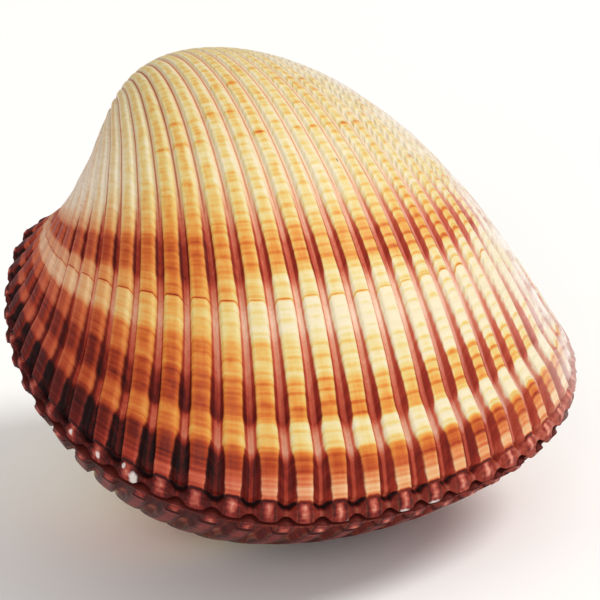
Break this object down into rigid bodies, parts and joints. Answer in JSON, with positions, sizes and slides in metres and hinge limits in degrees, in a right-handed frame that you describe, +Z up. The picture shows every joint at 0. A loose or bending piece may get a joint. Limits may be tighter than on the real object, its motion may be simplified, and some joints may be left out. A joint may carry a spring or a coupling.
{
  "type": "closed cockle shell",
  "caption": "Closed pair of heart-shaped, radially ribbed cockle valves with interlocking wavy margins, joined at the hinge by a dried ligament, lying on one valve's bulge.",
  "frame": {"origin": "centre of the bounding box at its base, on the surface that the shell lies on", "axes": "+Z up as the shell lies, +X towards the shell's front end along the hinge, -Y towards the open edge"},
  "size_m": [0.0862, 0.0848, 0.0687],
  "materials": {
    "upper_valve": "satin ribbed shell, cream to orange with red-brown bands and grooves, mahogany at the back",
    "lower_valve": "satin ribbed shell, cream to orange with red-brown bands and a mahogany margin",
    "ligament": "dried, dark brown and slightly cracked"
  },
  "bodies": {
    "root": {"upper_valve": "upper_valve", "lower_valve": "lower_valve", "ligament": "ligament"}
  },
  "joints": []
}
